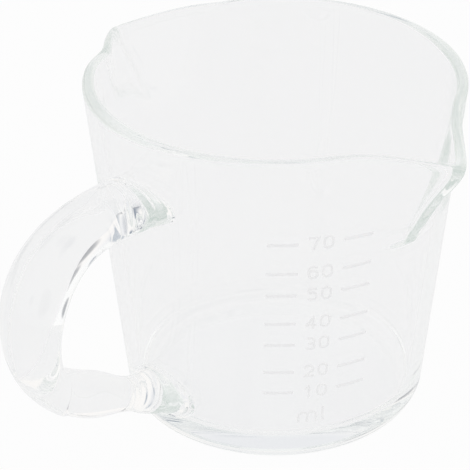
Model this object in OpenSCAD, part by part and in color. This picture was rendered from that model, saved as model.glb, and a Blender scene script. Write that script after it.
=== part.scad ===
// Small glass measuring cup with two pouring spouts, a drawn glass handle and a printed scale.
// The origin is the centre of the underside, on the table. Z is up, the handle points to -X,
// and the two spouts point to -Y and +Y.

/* [Cup] */
// Outer diameter of the rim, away from the spouts
rim_d = 60; // [54:0.5:72]
// Height of the rim above the table
cup_h = 57; // [52:0.5:70]
// Outer diameter of the wall, carried on down to the table
base_d = 47.9; // [42:0.1:54]
// Thickness of the wall and the lip
wall_t = 2.2; // [1.6:0.1:3]
// Thickness of the floor
floor_t = 4.5; // [3:0.1:7]
// Outer radius between the wall and the underside
corner_r = 4; // [2:0.1:6]
// Inner radius between the wall and the floor
fillet_r = 2.2; // [1:0.1:6]

/* [Spouts] */
// How far a spout's tip stands out past the rim
spout_reach = 8.3; // [4:0.1:10]
// How far the groove inside a spout stands out past the bore
groove_reach = 7.4; // [3.5:0.1:9.5]
// How far below the lip a spout starts
spout_depth = 18.4; // [12:0.1:22]
// Angle from a spout's middle to where its lip joins the round rim
spout_angle = 28; // [20:0.5:34]
// Power at which a spout falls away from its middle
spout_fall = 2.2; // [1.6:0.1:3]
// Angle over which a spout's crest is rounded
crest_angle = 2; // [1:0.1:4]
// Share of its width that a spout keeps at its foot
foot_width_share = 0.75; // [0.5:0.05:1]
// Share of a spout's reach that its sharp ridge has
ridge_share = 0.14; // [0:0.01:0.2]
// Angle over which the sharp ridge falls away
ridge_angle = 3; // [2:0.1:6]
// How far the tip of the front spout dips below the rim
front_dip = 2.4; // [0:0.1:5]
// How far the tip of the back spout dips below the rim
back_dip = 3.9; // [0:0.1:5]
// Angle by which the front spout is turned from the middle
front_turn = 1.2; // [-3:0.1:3]
// Share of the depth by which the back spout starts higher up
back_lift = 0.16; // [0:0.01:0.4]
// How much thinner the lip is next to a spout
lip_thinning = 0.7; // [0:0.1:0.9]
// How far the rim is pinched in on both sides of the back spout
rim_pinch = 0.75; // [0:0.05:1.2]

/* [Handle path] */
// How far the middle of the upper weld lies below the rim
top_weld_drop = 11.6; // [10:0.1:16]
// Height of the middle of the lower weld above the table
low_weld_z = 9.2; // [8:0.1:16]
// Distance from the cup's axis to the rod's middle at its widest point
handle_reach = 50.7; // [44:0.1:60]
// How far the widest point lies above the height midway between the welds
belly_lift = 3.3; // [-4:0.1:8]
// Angle at which the rod climbs away from the upper weld
rise_angle = 10; // [0:1:30]
// Angle at which the rod climbs away from the lower weld
fall_angle = 26; // [0:1:40]
// How far the rod runs on straight from the upper weld before it bends
top_run = 14.9; // [8:0.1:20]
// The same for the lower weld
low_run = 18.9; // [8:0.1:24]
// How far the rod stays upright above its widest point
belly_up = 10; // [5:0.1:14]
// How far the rod stays upright below its widest point
belly_down = 12; // [5:0.1:16]

/* [Handle thickness] */
// Height of the upper weld on the wall
top_weld_h = 6.2; // [5:0.1:13]
// Width of the upper weld on the wall
top_weld_w = 14; // [10:0.1:20]
// Thickness of the rod next to the upper weld
shank_t = 8.5; // [6:0.1:12]
// Width of the rod next to the upper weld
shank_w = 9.7; // [6:0.1:12]
// Thickness of the rod at the grip
grip_t = 9.1; // [6:0.1:12]
// Width of the rod at the grip
grip_w = 10.7; // [6:0.1:12]
// Thickness of the rod in its lower bend
bend_t = 6.5; // [5:0.1:12]
// Width of the rod in its lower bend
bend_w = 10.2; // [6:0.1:12]
// Thickness of the rod on its way back to the cup
heel_t = 7.5; // [5:0.1:10]
// Width of the rod on its way back to the cup
heel_w = 7.2; // [5:0.1:10]
// Thickness of the neck beside the lower weld
neck_t = 5.4; // [3:0.1:8]
// Width of the neck beside the lower weld
neck_w = 6.1; // [3:0.1:8]
// Height of the lower weld on the wall
low_weld_h = 8.9; // [6:0.1:11]
// Width of the lower weld on the wall
low_weld_w = 12.5; // [7:0.1:16]
// Seam left between the welds and the wall
weld_seam = 0.05; // [0.03:0.01:0.2]

/* [Scale] */
// Angle from the front spout round to the middle of the scale
scale_turn = 31; // [26:0.1:40]
// Height of the lowest line above the table
first_line_z = 14.6; // [12:0.1:18]
// Step from each odd line to the next even one
short_step = 4.05; // [3:0.05:5]
// Step from each even line to the next odd one
long_step = 5.3; // [3:0.05:6]
// Distance from the middle of the scale to the near end of a line
line_gap = 3.45; // [2.5:0.05:4.5]
// Length of a line round the wall
line_len = 4.7; // [3:0.05:7]
// Width of a line
line_w = 0.5; // [0.3:0.05:0.8]
// Height of a numeral
digit_h = 2.4; // [1.6:0.1:3]
// Width of one digit
digit_w = 1.7; // [1.2:0.1:2]
// Space between the two digits of a numeral
digit_gap = 0.5; // [0.3:0.05:1]
// Width of a printed stroke
stroke = 0.36; // [0.2:0.02:0.5]
// Height of the middle of the unit mark above the table
unit_z = 9.85; // [8:0.05:11]
// Height of the unit mark's tall letter
unit_h = 2.8; // [2:0.1:4]
// Thickness of the fired print
print_t = 0.1; // [0.05:0.01:0.2]
// Seam left between the print and the wall
print_seam = 0.04; // [0.01:0.01:0.1]

/* [Hidden] */
lines = 7;
function tens(i) = str(i + 1, "0");
$fn = 24;

glass = [0.84, 0.92, 0.9, 0.5];
print_white = [0.96, 0.97, 0.97];

// Wall: a straight cone outside, with the inside parallel to it
wall_slope = (rim_d - base_d) / 2 / cup_h;
wall_lean = atan(wall_slope);
function wall_r(z) = base_d / 2 + wall_slope * z;
function bore_r(z) = wall_r(z) - wall_t / cos(wall_lean);
lip_z = cup_h - wall_t / 2;
root_z = lip_z - spout_depth;

// Round corners outside and inside the base, each tangent to the wall and a level face
function corner_middle(wall_at_r, r, z) = [wall_at_r - r / cos(wall_lean), z + r];
outer_corner = corner_middle(wall_r(corner_r), corner_r, 0);
inner_corner = corner_middle(bore_r(floor_t + fillet_r), fillet_r, floor_t);
function arc_point(middle, r, angle) = middle + r * [cos(angle), sin(angle)];
function steps(from, to, count) = [for (i = [0 : count]) from + (to - from) * i / count];

// Facets: closer together round the rim where the spouts are
quarter_facets = 24;
facet_crowding = 1.4;
corner_facets = 5;
spout_facets = 10;
lip_facets = 6;
fillet_facets = 4;
handle_sides = 24;
handle_rings = 44;
film_facets = 8;

// Spouts: a wide pull, flared at the lip, with a sharp ridge that starts blunt at its foot
front_foot = 0.08;
back_foot = 0.5;
pull_start = 0.3;
pull_power = 1.3;
flare = 1.05;
flare_power = 6;
groove_ridge = 0.8;
thinned_angle = 50;
pinch_angle = 27;
pinch_spread = 7.8;
function is_front(angle) = angle > 180;
function off_middle(angle) = is_front(angle) ? angle - 270 - front_turn : angle - 90;
function from_crest(angle) = norm([off_middle(angle), crest_angle]) - crest_angle;
function fall(angle, share) = pow(max(0, 1 - from_crest(angle) / spout_angle / share), spout_fall);
function eased_in(x) = let (t = min(1, x)) t * t * (3 - 2 * t);
function rise(up, angle) = is_front(angle) ? up : max(0, up - back_lift) / (1 - back_lift);
function swell(rise) =
    ((1 - ridge_share) * pow(rise, pull_power) + ridge_share * rise) * eased_in(rise / pull_start)
    + flare * pow(rise, flare_power) * (1 - rise);
function ridge(rise, angle) =
    let (foot = is_front(angle) ? front_foot : back_foot)
    ridge_share * eased_in(rise / foot) * (1 - rise) * exp(-from_crest(angle) / ridge_angle);
function pull(up, angle, ridge_part) =
    let (at = rise(up, angle), share = foot_width_share + (1 - foot_width_share) * at)
    swell(at) * fall(angle, share) + ridge_part * ridge(at, angle);
function pinch(up, angle) =
    let (x = (abs(off_middle(angle)) - pinch_angle) / pinch_spread)
    is_front(angle) ? 0 : up * up * rim_pinch * exp(-x * x);
function thinning(up, angle) =
    let (x = off_middle(angle) / thinned_angle)
    up * lip_thinning * exp(-x * x);
function lip_drop(angle) = spout_depth - (is_front(angle) ? front_dip : back_dip) * fall(angle, 1);

// Points of the outside and the inside of the wall, up being 0 where the spouts start and 1 at the lip
function outer_r(z, up, angle) = wall_r(z) + spout_reach * pull(up, angle, 1) - pinch(up, angle);
function outside(up, angle) =
    let (z = root_z + up * lip_drop(angle))
    [outer_r(z, up, angle), z];
function inside(up, angle) =
    let (
        z = root_z + up * lip_drop(angle),
        pulled = groove_reach * pull(up, angle, groove_ridge)
    )
    [bore_r(z) + pulled + thinning(up, angle) - pinch(up, angle), z];
function lip(turn, angle) =
    let (outer = outside(1, angle), inner = inside(1, angle), middle = (outer + inner) / 2)
    middle + [cos(turn) * (outer[0] - inner[0]) / 2, sin(turn) * wall_t / 2];

// Outer radius of the wall at a height and an angle, spouts included
function wall_at(z, angle) = outer_r(z, max(0, (z - root_z) / lip_drop(angle)), angle);

// Cut through the cup at one angle, from the edge of the underside over the lip to the floor
function cup_section(angle) = concat(
    [for (a = steps(-90, -wall_lean, corner_facets)) arc_point(outer_corner, corner_r, a)],
    [for (up = steps(0, 1, spout_facets)) outside(up, angle)],
    [for (i = [1 : lip_facets - 1]) lip(180 * i / lip_facets, angle)],
    [for (up = steps(1, 0, spout_facets)) inside(up, angle)],
    [for (a = steps(-wall_lean, -90, fillet_facets)) arc_point(inner_corner, fillet_r, a)]
);
function crowded(i) = 90 * pow(i / quarter_facets, facet_crowding);
angles = [
    for (side = [90, 270])
        for (i = [-quarter_facets : quarter_facets - 1])
            side + sign(i) * crowded(abs(i))
];

// Solid through rings of points, with the first and the last ring closed flat
module lofted(points, sides) {
    rings = len(points) / sides;
    start = [for (i = [0 : sides - 1]) i];
    end = [for (i = [0 : sides - 1]) len(points) - 1 - i];
    between = [
        for (k = [0 : rings - 2])
            for (i = [0 : sides - 1])
                let (a = k * sides + i, b = k * sides + (i + 1) % sides)
                each [[a, a + sides, b], [b, a + sides, b + sides]]
    ];
    polyhedron(points, concat([start], between, [end]), convexity = 6);
}

module cup_body() {
    sections = [for (a = angles) cup_section(a)];
    sides = len(sections);
    rings = len(sections[0]);
    points = [
        for (k = [0 : rings - 1])
            for (i = [0 : sides - 1])
                let (at = sections[i][k])
                [at[0] * cos(angles[i]), at[0] * sin(angles[i]), at[1]]
    ];
    color(glass)
        lofted(points, sides);
}

// Handle path in its own upright plane: [distance from the cup's axis, height]
top_weld_z = cup_h - top_weld_drop;
belly = [handle_reach, (top_weld_z + low_weld_z) / 2 + belly_lift];
top_end = [wall_r(top_weld_z), top_weld_z];
low_end = [wall_r(low_weld_z), low_weld_z];
upper_arm = [
    top_end,
    top_end + top_run * [cos(rise_angle), sin(rise_angle)],
    belly + [0, belly_up],
    belly
];
lower_arm = [
    belly,
    belly - [0, belly_down],
    low_end + low_run * [cos(fall_angle), sin(fall_angle)],
    low_end
];
function bezier(p, t) =
    let (s = 1 - t)
    s * s * s * p[0] + 3 * s * s * t * p[1] + 3 * s * t * t * p[2] + t * t * t * p[3];
function slope(p, t) =
    let (s = 1 - t)
    s * s * (p[1] - p[0]) + 2 * s * t * (p[2] - p[1]) + t * t * (p[3] - p[2]);
function path(u) = u < 1 ? bezier(upper_arm, u) : bezier(lower_arm, u - 1);
function heading(u) =
    let (d = u < 1 ? slope(upper_arm, u) : slope(lower_arm, u - 1))
    d / norm(d);

// Thickness in the handle's plane and width across it, eased between stations along the path
stations = [0, 0.2, 0.72, 1.26, 1.64, 1.84, 2];
thicknesses = [top_weld_h, shank_t, grip_t, bend_t, heel_t, neck_t, low_weld_h];
widths = [top_weld_w, shank_w, grip_w, bend_w, heel_w, neck_w, low_weld_w];
function station(u) = max([for (i = [0 : len(stations) - 2]) stations[i] <= u ? i : 0]);
function eased(values, u) =
    let (i = station(u), t = (u - stations[i]) / (stations[i + 1] - stations[i]))
    values[i] + (values[i + 1] - values[i]) * (1 - cos(180 * t)) / 2;

// One point of the rod's section at u, at a turn round it and a share of its full size
function rod_point(u, turn, share) =
    let (
        middle = path(u),
        along = heading(u),
        off = share * cos(turn) * eased(thicknesses, u) / 2,
        side = share * sin(turn) * eased(widths, u) / 2
    )
    [middle[0] - off * along[1], side, middle[1] + off * along[0]];

// The same point moved level onto the cup's wall, for the welded ends
function on_wall(p) = [sqrt(pow(wall_r(p[2]), 2) - p[1] * p[1]) + weld_seam, p[1], p[2]];
end_shares = [0.01, 0.34, 0.67, 1];
top_weld_share = 0.09;
low_weld_share = 0.075;

module handle() {
    turns = [for (i = [0 : handle_sides - 1]) -360 * i / handle_sides];
    points = concat(
        [for (share = end_shares) for (turn = turns) on_wall(rod_point(0, turn, share))],
        [
            for (u = steps(top_weld_share, 2 - low_weld_share, handle_rings))
                for (turn = turns)
                    rod_point(u, turn, 1)
        ],
        [
            for (i = [len(end_shares) - 1 : -1 : 0])
                for (turn = turns)
                    on_wall(rod_point(2, turn, end_shares[i]))
        ]
    );
    color(glass)
        rotate(180)
            lofted(points, handle_sides);
}

// Heights of the lines, in steps that alternate
function line_z(i) = first_line_z + ceil(i / 2) * short_step + floor(i / 2) * long_step;
scale_angle = 270 - scale_turn;

// Film of print on the wall between two heights and two distances from the middle of the scale
module film(low, high, near, far) {
    degrees_per_mm = 180 / PI / wall_r((low + high) / 2);
    top = print_seam + print_t;
    corners = [[low, print_seam], [high, print_seam], [high, top], [low, top]];
    points = [
        for (at = steps(near, far, film_facets))
            for (corner = corners)
                let (angle = scale_angle + at * degrees_per_mm, r = wall_at(corner[0], angle) + corner[1])
                [r * cos(angle), r * sin(angle), corner[0]]
    ];
    lofted(points, len(corners));
}

// Line i of the scale, on the left (-1) or right (1) of its numeral
module scale_line(i, side) {
    z = line_z(i);
    near = side > 0 ? line_gap : -line_gap - line_len;
    color(print_white)
        film(z - line_w / 2, z + line_w / 2, near, near + line_len);
}

// Strokes: a bar from p to q, and an arc about a middle, both cut deep enough to pass the wall
stroke_depth = wall_t;
module bar(p, q) {
    run = q - p;
    translate(p)
        rotate(atan2(run[1], run[0]))
            translate([0, -stroke / 2, 0])
                cube([norm(run), stroke, stroke_depth]);
}
module arc(middle, r, from, to) {
    translate(middle)
        rotate(from)
            rotate_extrude(angle = to - from)
                translate([r - stroke / 2, 0])
                    square([stroke, stroke_depth]);
}

// Digits about their own middle, w and h being half their size along the middle of the stroke
module digit(n) {
    w = (digit_w - stroke) / 2;
    h = (digit_h - stroke) / 2;
    e = stroke / 2;
    if (n == 0) {
        arc([0, h - w], w, 0, 180);
        arc([0, w - h], w, 180, 360);
        bar([-w, w - h], [-w, h - w]);
        bar([w, w - h], [w, h - w]);
    }
    if (n == 1) {
        bar([w / 4, -h - e], [w / 4, h + e]);
        bar([w / 4, h - e / 2], [-0.7 * w, h / 2]);
    }
    if (n == 2) {
        arc([0, h - w], w, -40, 170);
        bar([w * cos(40), h - w - w * sin(40)], [-w, -h]);
        bar([-w - e, -h], [w + e, -h]);
    }
    if (n == 3) {
        for (side = [-1, 1]) {
            arc([w - h / 2, side * h / 2], h / 2, -90, 90);
            bar([-0.8 * w, side * h], [w - h / 2, side * h]);
        }
        bar([-w / 3, 0], [w - h / 2, 0]);
    }
    if (n == 4) {
        bar([w / 2, -h - e], [w / 2, h + e]);
        bar([w / 2, h], [-w, -h / 2]);
        bar([-w - e, -h / 2], [w + e, -h / 2]);
    }
    if (n == 5) {
        bar([-0.8 * w - e, h], [w, h]);
        bar([-0.8 * w, h], [-0.8 * w, w - h + w * sin(130)]);
        arc([0, w - h], w, -145, 140);
    }
    if (n == 6) {
        arc([0, w - h], w, 0, 360);
        bar([-w, w - h], [-w, h - w]);
        arc([0, h - w], w, 35, 180);
    }
    if (n == 7) {
        bar([-w - e, h], [w + e, h]);
        bar([w, h], [-w / 3, -h - e]);
    }
}

// Flat print at a height on the wall, wrapped onto it as a film
module wrapped(z, half_h) {
    color(print_white)
        intersection() {
            film(z - half_h, z + half_h, -line_gap, line_gap);
            rotate(scale_angle)
                translate([wall_r(z) - stroke_depth / 2, 0, z])
                    rotate([90, 0, 90])
                        children();
        }
}

module numeral(i) {
    pitch = digit_w + digit_gap;
    wrapped(line_z(i), digit_h)
        union() {
            translate([-pitch / 2, 0])
                digit(i + 1);
            translate([pitch / 2, 0])
                digit(0);
        }
}

// Small m and tall l, the sign for millilitres
module unit_mark() {
    arch_r = unit_h / 4;
    low_h = 0.7 * unit_h;
    letter_gap = 1.5 * arch_r;
    middle_x = -letter_gap;
    wrapped(unit_z, unit_h)
        translate([0, -unit_h / 2])
            union() {
                for (k = [-1 : 1])
                    bar([middle_x + 2 * k * arch_r, 0], [middle_x + 2 * k * arch_r, low_h - arch_r]);
                for (k = [-1, 1])
                    arc([middle_x + k * arch_r, low_h - arch_r], arch_r, 0, 180);
                bar([middle_x + 2 * arch_r + letter_gap, 0], [middle_x + 2 * arch_r + letter_gap, unit_h]);
            }
}

cup_body();
handle();
unit_mark();
for (i = [0 : lines - 1]) {
    numeral(i);
    scale_line(i, -1);
    scale_line(i, 1);
}
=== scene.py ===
"""Small clear glass measuring cup with two pouring spouts, a drawn glass handle and a fired white scale."""

import math

import bpy
import numpy as np
from mathutils import Matrix, Vector


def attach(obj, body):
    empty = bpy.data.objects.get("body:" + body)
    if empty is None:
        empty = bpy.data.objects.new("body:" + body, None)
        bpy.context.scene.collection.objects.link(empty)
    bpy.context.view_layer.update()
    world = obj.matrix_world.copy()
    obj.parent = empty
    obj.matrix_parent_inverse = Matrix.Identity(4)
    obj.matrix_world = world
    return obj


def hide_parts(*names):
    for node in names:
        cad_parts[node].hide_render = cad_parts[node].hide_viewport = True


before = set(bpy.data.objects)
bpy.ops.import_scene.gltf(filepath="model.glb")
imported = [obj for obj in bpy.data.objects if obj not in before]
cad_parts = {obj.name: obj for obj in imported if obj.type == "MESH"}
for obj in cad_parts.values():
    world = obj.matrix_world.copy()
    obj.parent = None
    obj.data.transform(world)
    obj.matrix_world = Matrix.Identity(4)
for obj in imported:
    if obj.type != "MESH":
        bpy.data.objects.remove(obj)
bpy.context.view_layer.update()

# Cup body
# Clear soda-lime glass, about two millimetres thick on a heavy floor, blown into a mould.
# The rim was fire polished to a round lip, and two spouts facing each other were pulled out of it
# while the glass was soft. Sizes are in millimetres and degrees.
mm = 0.001
rim_d = 60
cup_h = 57
base_d = 47.9
wall_t = 2.2
floor_t = 4.5
corner_r = 4
fillet_r = 2.2

# How far the outside and the inside of a spout are pulled out, and how deep and wide it is
spout_reach = 8.3
groove_reach = 7.4
spout_depth = 18.4
spout_angle = 28
spout_fall = 2.2
crest_angle = 2
foot_width_share = 0.75
pull_start = 0.3
pull_power = 1.3
flare = 1.05
flare_power = 6

# The ridge down the middle of a spout and where it ends
ridge_share = 0.14
ridge_angle = 3
groove_ridge = 0.8
front_foot = 0.08
back_foot = 0.5

# How the two spouts differ, and how the rim is drawn thin and pinched beside them
front_turn = 1.2
front_dip = 2.4
back_dip = 3.9
back_lift = 0.16
lip_thinning = 0.7
thinned_angle = 50
rim_pinch = 0.75
pinch_angle = 27
pinch_spread = 7.8

wall_slope = (rim_d - base_d) / 2 / cup_h
wall_lean = math.atan(wall_slope)
lip_z = cup_h - wall_t / 2
root_z = lip_z - spout_depth


def wall_r(z):
    """Radius of the plain wall's outside."""
    return base_d / 2 + wall_slope * z


def bore_r(z):
    """Radius of the plain wall's inside."""
    return wall_r(z) - wall_t / math.cos(wall_lean)


def eased_in(t):
    """A share from 0 to 1, slow at both ends."""
    return t * t * (3 - 2 * t)


def spouted(wall, up, angle, reach):
    """A point of the wall pulled out into a spout: up is 0 at the spout's foot and 1 at the lip."""
    front = angle > 180
    inside = reach < spout_reach
    off_middle = np.where(front, angle - 270 - front_turn, angle - 90)
    from_crest = np.hypot(off_middle, crest_angle) - crest_angle
    rise = np.where(front, up, max(0, up - back_lift) / (1 - back_lift))
    width = spout_angle * (foot_width_share + (1 - foot_width_share) * rise)
    bump = np.maximum(0, 1 - from_crest / width) ** spout_fall
    swell = (1 - ridge_share) * rise**pull_power + ridge_share * rise
    swell = swell * eased_in(np.minimum(1, rise / pull_start)) + flare * rise**flare_power * (1 - rise)
    foot = eased_in(np.minimum(1, rise / np.where(front, front_foot, back_foot)))
    ridge = ridge_share * foot * (1 - rise) * np.exp(-from_crest / ridge_angle)
    pulled = reach * (swell * bump + ridge * (groove_ridge if inside else 1))
    lip_bump = np.maximum(0, 1 - from_crest / spout_angle) ** spout_fall
    z = root_z + up * (spout_depth - np.where(front, front_dip, back_dip) * lip_bump)
    thinner = np.exp(-((off_middle / thinned_angle) ** 2)) * (lip_thinning if inside else 0)
    beside = (np.abs(off_middle) - pinch_angle) / pinch_spread
    pinch = np.where(front, 0, rim_pinch) * np.exp(-(beside**2))
    return wall(z) + pulled + up * thinner - up**2 * pinch, z


def arc(middle_r, middle_z, r, start, end, count):
    """Points of a round corner, from one angle to another."""
    return [(middle_r + r * math.cos(a), middle_z + r * math.sin(a)) for a in np.linspace(start, end, count)]


# Facets lie closer together at the spouts, and rows closer together at their feet
quarter_facets = 120
facet_crowding = 1.15
row_crowding = 1.2
floor_rows = 7
corner_rows = 14
wall_rows = 26
spout_rows = 42
lip_rows = 26
bore_rows = 12
fillet_rows = 12
hub_r = 0.5

turns = np.arange(-quarter_facets, quarter_facets) / quarter_facets
half_turn = 90 * np.sign(turns) * np.abs(turns) ** facet_crowding
cup_angles = np.concatenate([90 + half_turn, 270 + half_turn])
spout_ups = np.linspace(0, 1, spout_rows) ** row_crowding

# The section from the middle of the underside, up the outside, over the lip and down to the floor
fillet_z = floor_t + fillet_r
corner_middle_r = wall_r(corner_r) - corner_r / math.cos(wall_lean)
fillet_middle_r = bore_r(fillet_z) - fillet_r / math.cos(wall_lean)
profile = [(r, 0) for r in np.linspace(hub_r, corner_middle_r, floor_rows)[:-1]]
profile += arc(corner_middle_r, corner_r, corner_r, -math.pi / 2, -wall_lean, corner_rows)
profile += [(wall_r(z), z) for z in np.linspace(corner_r, root_z, wall_rows)[1:-1]]
profile += [spouted(wall_r, up, cup_angles, spout_reach) for up in spout_ups]
outer_lip_r, lip_edge_z = profile[-1]
inner_lip_r = spouted(bore_r, 1, cup_angles, groove_reach)[0]
lip_middle_r = (outer_lip_r + inner_lip_r) / 2
lip_half_t = (outer_lip_r - inner_lip_r) / 2
for turn in np.linspace(0, math.pi, lip_rows)[1:-1]:
    profile.append((lip_middle_r + lip_half_t * math.cos(turn), lip_edge_z + wall_t / 2 * math.sin(turn)))
outer_rows = len(profile) - (lip_rows // 2 - 1)
profile += [spouted(bore_r, up, cup_angles, groove_reach) for up in spout_ups[::-1]]
profile += [(bore_r(z), z) for z in np.linspace(root_z, fillet_z, bore_rows)[1:-1]]
profile += arc(fillet_middle_r, fillet_z, fillet_r, -wall_lean, -math.pi / 2, fillet_rows)
profile += [(r, floor_t) for r in np.linspace(fillet_middle_r, hub_r, floor_rows)[1:]]


def lofted(name, rings):
    """A closed, smooth mesh through rings of points in millimetres, with a fan to the middle at each end."""
    count, sides = rings.shape[:2]
    points = np.concatenate([rings.reshape(-1, 3), rings[[0, -1]].mean(axis=1)]) * mm
    start = count * sides
    end = start + 1
    faces = []
    for i in range(sides):
        j = (i + 1) % sides
        faces.append((start, j, i))
        faces.append((end, (count - 1) * sides + i, (count - 1) * sides + j))
        for k in range(0, (count - 1) * sides, sides):
            faces.append((k + i, k + j, k + sides + j, k + sides + i))
    mesh = bpy.data.meshes.new(name)
    mesh.from_pydata(points.tolist(), [], faces)
    mesh.polygons.foreach_set("use_smooth", [True] * len(faces))
    piece = bpy.data.objects.new(name, mesh)
    bpy.context.scene.collection.objects.link(piece)
    return piece


cup_rings = np.zeros((len(profile), len(cup_angles), 3))
for ring, (r, z) in zip(cup_rings, profile):
    ring[:, 0] = r * np.cos(np.radians(cup_angles))
    ring[:, 1] = r * np.sin(np.radians(cup_angles))
    ring[:, 2] = z
cup = lofted("glass_cup", cup_rings)


def linear(colour):
    """A hex sRGB colour as linear red, green, blue and alpha."""
    parts = [int(colour[i : i + 2], 16) / 255 for i in (1, 3, 5)]
    return [p / 12.92 if p <= 0.04045 else ((p + 0.055) / 1.055) ** 2.4 for p in parts] + [1]


def add_node(tree, kind, settings=None, links=None):
    """A node with its settings, by property or input name, and its links, from an output to each input."""
    node = tree.nodes.new(kind)
    for key, value in (settings or {}).items():
        if isinstance(key, str) and hasattr(node, key):
            setattr(node, key, value)
        else:
            node.inputs[key].default_value = value
    for key, output in (links or {}).items():
        tree.links.new(output, node.inputs[key])
    return node


def new_material(name):
    """An empty node material and its output node."""
    material = bpy.data.materials.new(name)
    material.use_nodes = True
    material.node_tree.nodes.clear()
    return material, add_node(material.node_tree, "ShaderNodeOutputMaterial")


# What a metre of the glass takes away, seen as the faint green of its thick edges
glass_ior = 1.51
glass_tint = "#f0f4f2"
glass_density = 4.2


def soda_lime_glass(name, wave_length, wave_strength):
    """Clear glass with slow waves of a length in millimetres: its material, its surface and its output."""
    material, output = new_material(name)
    tree = material.node_tree
    place = add_node(tree, "ShaderNodeTexCoord").outputs["Object"]
    waves = add_node(
        tree, "ShaderNodeTexNoise", {"Scale": 1 / (wave_length * mm), "Detail": 0.0}, {"Vector": place}
    )
    bump = add_node(
        tree, "ShaderNodeBump", {"Strength": wave_strength, "Distance": 1 * mm}, {"Height": waves.outputs[0]}
    )
    surface = add_node(
        tree,
        "ShaderNodeBsdfPrincipled",
        {"Base Color": linear("#ffffff"), "Roughness": 0.0, "IOR": glass_ior, "Transmission Weight": 1.0},
        {"Normal": bump.outputs[0]},
    )
    tint = add_node(
        tree, "ShaderNodeVolumeAbsorption", {"Color": linear(glass_tint), "Density": glass_density}
    )
    tree.links.new(surface.outputs[0], output.inputs["Surface"])
    tree.links.new(tint.outputs[0], output.inputs["Volume"])
    return material, surface, output


# Moulded soda-lime glass: clear and smooth, faintly green in its thick edges, with slow waves from the mould
moulded_glass, moulded_surface, moulded_output = soda_lime_glass("moulded_soda_lime_glass", 22, 0.015)
cup.data.materials.append(moulded_glass)
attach(cup, "root")
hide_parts("cup_body")

# Handle
# A solid rod of the same glass, drawn out hot, bent into a loop and pressed onto the wall at both ends.
# Pressing and bending left folds around the rod, and it is thinnest above the lower weld.
top_weld_drop = 11.6
top_weld_z = cup_h - top_weld_drop
low_weld_z = 9.2
handle_reach = 50.7
belly_lift = 3.3
rise_angle = math.radians(10)
fall_angle = math.radians(26)

# How strongly the path is drawn along its heading at the welds and at the belly
top_pull = 14.9
belly_pull_up = 10
belly_pull_down = 12
low_pull = 18.9

# Thickness and width along the rod, from 0 at the upper weld through 1 at the belly to 2 at the lower weld
stations = [0, 0.2, 0.72, 1.26, 1.64, 1.84, 2]
thicknesses = [6.2, 8.5, 9.1, 6.5, 7.5, 5.4, 8.9]
widths = [14, 9.7, 10.7, 10.2, 7.2, 6.1, 12.5]

top_end = np.array([wall_r(top_weld_z), top_weld_z])
low_end = np.array([wall_r(low_weld_z), low_weld_z])
belly = np.array([handle_reach, (top_weld_z + low_weld_z) / 2 + belly_lift])
upper_arm = [
    top_end,
    top_end + top_pull * np.array([math.cos(rise_angle), math.sin(rise_angle)]),
    belly + [0, belly_pull_up],
    belly,
]
lower_arm = [
    belly,
    belly - [0, belly_pull_down],
    low_end + low_pull * np.array([math.cos(fall_angle), math.sin(fall_angle)]),
    low_end,
]


def rod_path(u):
    """The rod's middle at u, and its heading, in the handle's upright plane."""
    p, t = (upper_arm, u) if u < 1 else (lower_arm, u - 1)
    s = 1 - t
    at = s**3 * p[0] + 3 * s * s * t * p[1] + 3 * s * t * t * p[2] + t**3 * p[3]
    along = s * s * (p[1] - p[0]) + 2 * s * t * (p[2] - p[1]) + t * t * (p[3] - p[2])
    return at, along / np.linalg.norm(along)


def eased(values, u):
    """A size at u, eased between its stations."""
    i = max(k for k in range(len(stations) - 1) if stations[k] <= u)
    t = (u - stations[i]) / (stations[i + 1] - stations[i])
    return values[i] + (values[i + 1] - values[i]) * (1 - math.cos(math.pi * t)) / 2


# Folds at the welds: how far apart and how deep, how far they run from the wall, and how uneven they are
fold_pitch = 1.5
fold_depth = 0.45
fold_middle = 0.64
fold_reach = 4.4
fold_fade = 4
fold_slant = 0.7
slant_turn = 1
fold_evenness = 0.7
fold_lumps = 3
lump_turn = 2
upper_arm_l = 44.7
lower_arm_l = 56.7

# The step where the rod turns into its lower arm
bend_at = 1.45
bend_lean = 0.09
bend_skew = 0.12
bend_edge = 0.012
bend_run = 0.07
bend_step = 0.25

rod_sides = 84
rod_rings = 300
weld_rings = 40
cap_rings = 10
weld_gap = 0.02
weld_run = 0.12
rod_turns = np.linspace(0, 2 * math.pi, rod_sides, endpoint=False)


def rod_ring(u, share=1.0):
    """One ring of the rod at u, at a share of its full size, with the folds left by pressing and bending."""
    middle, along = rod_path(u)
    from_wall = (upper_arm_l if u < 1 else lower_arm_l) * min(u, 2 - u)
    down_folds = from_wall + fold_slant * np.sin(rod_turns + slant_turn)
    folds = fold_depth * (np.abs(np.sin(math.pi * down_folds / fold_pitch)) - fold_middle)
    folds *= fold_evenness + (1 - fold_evenness) * np.cos(fold_lumps * rod_turns + lump_turn)
    folds *= math.exp(-((from_wall / fold_reach) ** fold_fade)) * min(1, from_wall / fold_pitch)
    past_bend = u - (bend_at + bend_lean * np.cos(rod_turns) + bend_skew * np.sin(rod_turns))
    step = bend_step * np.tanh(-past_bend / bend_edge) * np.exp(-np.abs(past_bend) / bend_run)
    swell = folds + step * (1 - np.sin(rod_turns)) / 2
    off = share * np.cos(rod_turns) * (eased(thicknesses, u) / 2 + swell)
    side = share * np.sin(rod_turns) * (eased(widths, u) / 2 + swell)
    return np.stack([-(middle[0] - off * along[1]), side, middle[1] + off * along[0]], axis=-1)


def on_wall(ring):
    """A ring moved level onto the cup's wall."""
    moved = ring.copy()
    moved[:, 0] = -np.sqrt(wall_r(ring[:, 2]) ** 2 - ring[:, 1] ** 2) - weld_gap
    return moved


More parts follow.
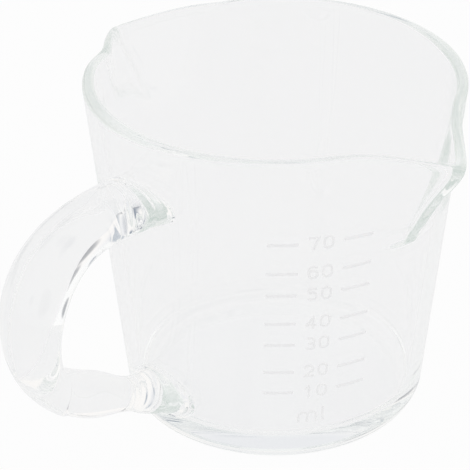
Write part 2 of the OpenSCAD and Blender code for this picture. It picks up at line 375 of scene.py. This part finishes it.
def near_wall(u):
    """A ring close to a weld, eased from the wall's curve to a ring of the rod."""
    ring = rod_ring(u)
    return on_wall(ring) + eased_in(min(u, 2 - u) / weld_run) * (ring - on_wall(ring))


cap_shares = np.linspace(1 / cap_rings, 1, cap_rings)
weld_rows = np.linspace(0, weld_run, weld_rings + 2)[1:-1]
rings = [on_wall(rod_ring(0, share)) for share in cap_shares]
rings += [near_wall(u) for u in weld_rows]
rings += [rod_ring(u) for u in np.linspace(weld_run, 2 - weld_run, rod_rings)]
rings += [near_wall(2 - u) for u in weld_rows[::-1]]
rings += [on_wall(rod_ring(2, share)) for share in cap_shares[::-1]]
handle = lofted("glass_handle", np.array(rings))

# Drawn soda-lime glass: as clear as the cup, with shorter and stronger waves from the drawing
drawn_glass, drawn_surface, drawn_output = soda_lime_glass("drawn_soda_lime_glass", 12, 0.03)
handle.data.materials.append(drawn_glass)
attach(handle, "root")
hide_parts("handle")

# Welds
# Each end of the rod was pressed hot against the wall, and the two ran into one over the inner part of it.
# No surface is left there to bend the light, so both pieces of glass are open to it.
fused_from = 0.3


def open_weld(piece, depths, material, surface, output):
    """Keeps how deep in a weld each point of a piece lies, and leaves out the surface where it is fused."""
    piece.data.attributes.new("weld_depth", "FLOAT", "POINT").data.foreach_set("value", depths)
    tree = material.node_tree
    depth = add_node(tree, "ShaderNodeAttribute", {"attribute_name": "weld_depth"})
    fused = add_node(
        tree, "ShaderNodeMath", {"operation": "GREATER_THAN", 1: fused_from}, {0: depth.outputs["Fac"]}
    )
    clear = add_node(tree, "ShaderNodeBsdfTransparent")
    opened = add_node(
        tree, "ShaderNodeMixShader", None, {0: fused.outputs[0], 1: surface.outputs[0], 2: clear.outputs[0]}
    )
    tree.links.new(opened.outputs[0], output.inputs["Surface"])


rod_depths = np.full((len(rings), rod_sides), -1.0)
rod_depths[:cap_rings] = 1 - cap_shares[:, None]
rod_depths[-cap_rings:] = 1 - cap_shares[::-1, None]
open_weld(handle, np.append(rod_depths, [1, 1]), drawn_glass, drawn_surface, drawn_output)

cup_depths = np.full(cup_rings.shape[:2], -1.0)
outside = cup_rings[:outer_rows]
for weld_z, lean, k in ((top_weld_z, rise_angle, 0), (low_weld_z, fall_angle, -1)):
    up = (outside[..., 2] - weld_z) / (thicknesses[k] / 2 * math.cos(lean))
    depths = 1 - np.hypot(outside[..., 1] / (widths[k] / 2), up)
    cup_depths[:outer_rows] = np.maximum(cup_depths[:outer_rows], np.where(outside[..., 0] < 0, depths, -1))
open_weld(cup, np.append(cup_depths, [-1, -1]), moulded_glass, moulded_surface, moulded_output)

# Printed scale
# White enamel, printed on the wall with its lines, numerals and unit, and fired into it.
# The film is a tenth of a millimetre thick.
grain = 0.4

# Fired white enamel: a satin white with a faint grain, drawn coarse enough to show
enamel, enamel_output = new_material("fired_white_enamel")
tree = enamel.node_tree
place = add_node(tree, "ShaderNodeTexCoord").outputs["Object"]
grains = add_node(tree, "ShaderNodeTexNoise", {"Scale": 1 / (grain * mm), "Detail": 3.0}, {"Vector": place})
white = add_node(tree, "ShaderNodeValToRGB", None, {"Fac": grains.outputs[0]})
white.color_ramp.elements[0].color = linear("#f3f3f3")
white.color_ramp.elements[1].color = linear("#f7f7f7")
film_face = add_node(tree, "ShaderNodeNewGeometry").outputs["True Normal"]
coat = add_node(
    tree,
    "ShaderNodeBsdfPrincipled",
    {"Roughness": 0.35, "IOR": 1.5},
    {"Base Color": white.outputs[0], "Normal": film_face},
)
tree.links.new(coat.outputs[0], enamel_output.inputs["Surface"])
for name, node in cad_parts.items():
    if name not in ("cup_body", "handle"):
        node.data.materials.clear()
        node.data.materials.append(enamel)

# Table
# A wide sheet of matt white paper, just under the cup.
# The picture shows it as nearly plain white, and through the glass as paper with some of that white.
table_half = 2000
table_z = -0.1
shown_white = 0.88
white_in_glass = 0.3

table_sides = ((-1, -1), (1, -1), (1, 1), (-1, 1))
table_corners = [(x * table_half * mm, y * table_half * mm, table_z * mm) for x, y in table_sides]
table_mesh = bpy.data.meshes.new("table_top")
table_mesh.from_pydata(table_corners, [], [(0, 1, 2, 3)])
table = bpy.data.objects.new("table_top", table_mesh)
bpy.context.scene.collection.objects.link(table)

# White paper: matt and even, with no gloss
paper, paper_output = new_material("white_paper")
tree = paper.node_tree
matt = add_node(tree, "ShaderNodeBsdfDiffuse", {"Color": linear("#f8f8f8")})
plain = add_node(tree, "ShaderNodeEmission", {"Color": linear("#ffffff")})
ray = add_node(tree, "ShaderNodeLightPath")
seen = add_node(
    tree, "ShaderNodeMath", {"operation": "MULTIPLY", 1: shown_white}, {0: ray.outputs["Is Camera Ray"]}
)
bent = add_node(
    tree,
    "ShaderNodeMath",
    {"operation": "MAXIMUM"},
    {0: ray.outputs["Is Glossy Ray"], 1: ray.outputs["Is Transmission Ray"]},
)
share = add_node(
    tree,
    "ShaderNodeMath",
    {"operation": "MULTIPLY_ADD", 1: white_in_glass},
    {0: bent.outputs[0], 2: seen.outputs[0]},
)
both = add_node(
    tree, "ShaderNodeMixShader", None, {0: share.outputs[0], 1: matt.outputs[0], 2: plain.outputs[0]}
)
tree.links.new(both.outputs[0], paper_output.inputs["Surface"])
table.data.materials.append(paper)

# Studio light
# An even white tent all round, whitest on the camera's side.
# Small grey cards in it give the thick glass its few dark and blue lines.
sky = "#fcfaf8"
cards = [
    # Azimuth, elevation, reach of the card and of its soft edge in degrees, and its colour
    (225, 40, 50, 30, "#ffffff"),
    (45, 38, 14, 22, "#ecedf0"),
    (195, 11, 3, 5, "#a4a7ac"),
    (252, 55, 5, 8, "#8c96a4"),
    (90, 62, 5, 6, "#7f8894"),
    (122, 54, 5, 7, "#8c96a4"),
    (-8, 58, 6, 12, "#b4bcc6"),
    (72, 0, 4, 8, "#a8aaae"),
    (92, 1, 4, 8, "#a8aaae"),
    (110, 2, 4, 8, "#b4b6ba"),
]

world = bpy.data.worlds.new("studio")
bpy.context.scene.world = world
world.use_nodes = True
tree = world.node_tree
tree.nodes.clear()
direction = add_node(tree, "ShaderNodeTexCoord").outputs["Generated"]
colour = None
for azimuth, elevation, reach, edge, tone in cards:
    turn = math.radians(azimuth)
    lift = math.radians(elevation)
    aim = (math.cos(lift) * math.cos(turn), math.cos(lift) * math.sin(turn), math.sin(lift))
    facing = add_node(tree, "ShaderNodeVectorMath", {"operation": "DOT_PRODUCT", 1: aim}, {0: direction})
    card_edge = math.cos(math.radians(reach))
    soft_edge = math.cos(math.radians(reach + edge))
    part = add_node(
        tree,
        "ShaderNodeMapRange",
        {"interpolation_type": "SMOOTHSTEP", "From Min": soft_edge, "From Max": card_edge},
        {"Value": facing.outputs["Value"]},
    )
    mixed = add_node(
        tree, "ShaderNodeMixRGB", {"Color1": linear(sky), "Color2": linear(tone)}, {"Fac": part.outputs[0]}
    )
    if colour is not None:
        tree.links.new(colour, mixed.inputs["Color1"])
    colour = mixed.outputs[0]
light = add_node(tree, "ShaderNodeBackground", None, {"Color": colour})
add_node(tree, "ShaderNodeOutputWorld", None, {"Surface": light.outputs[0]})

# Camera
# A long lens, a little over a third of a metre away, between the handle and the front spout.
# It looks down at the printed side from the photograph's height.
camera_at = Vector((-220.72, -220.72, 207.84)) * mm
forward = Vector((0.59997722, 0.62523558, -0.49910701))
upward = Vector((0.35281087, 0.35314052, 0.86649655))
camera_data = bpy.data.cameras.new("camera")
camera_data.lens = 171.11
camera_data.sensor_width = 36
camera_data.clip_start = 10 * mm
camera = bpy.data.objects.new("camera", camera_data)
bpy.context.scene.collection.objects.link(camera)
turned = Matrix((forward.cross(upward), upward, -forward)).transposed().to_4x4()
camera.matrix_world = Matrix.Translation(camera_at) @ turned
bpy.context.scene.camera = camera
bpy.context.scene.view_settings.view_transform = "Standard"

# Light is guided along inside the walls and the rod, so its paths need many bounces to leave the glass,
# and it stays sharp on its way through the glass to the print and the table
long_path = 400
paths = bpy.context.scene.cycles
paths.max_bounces = long_path
paths.glossy_bounces = long_path
paths.transmission_bounces = long_path
paths.transparent_max_bounces = long_path
paths.min_light_bounces = long_path
paths.min_transparent_bounces = long_path
paths.blur_glossy = 0
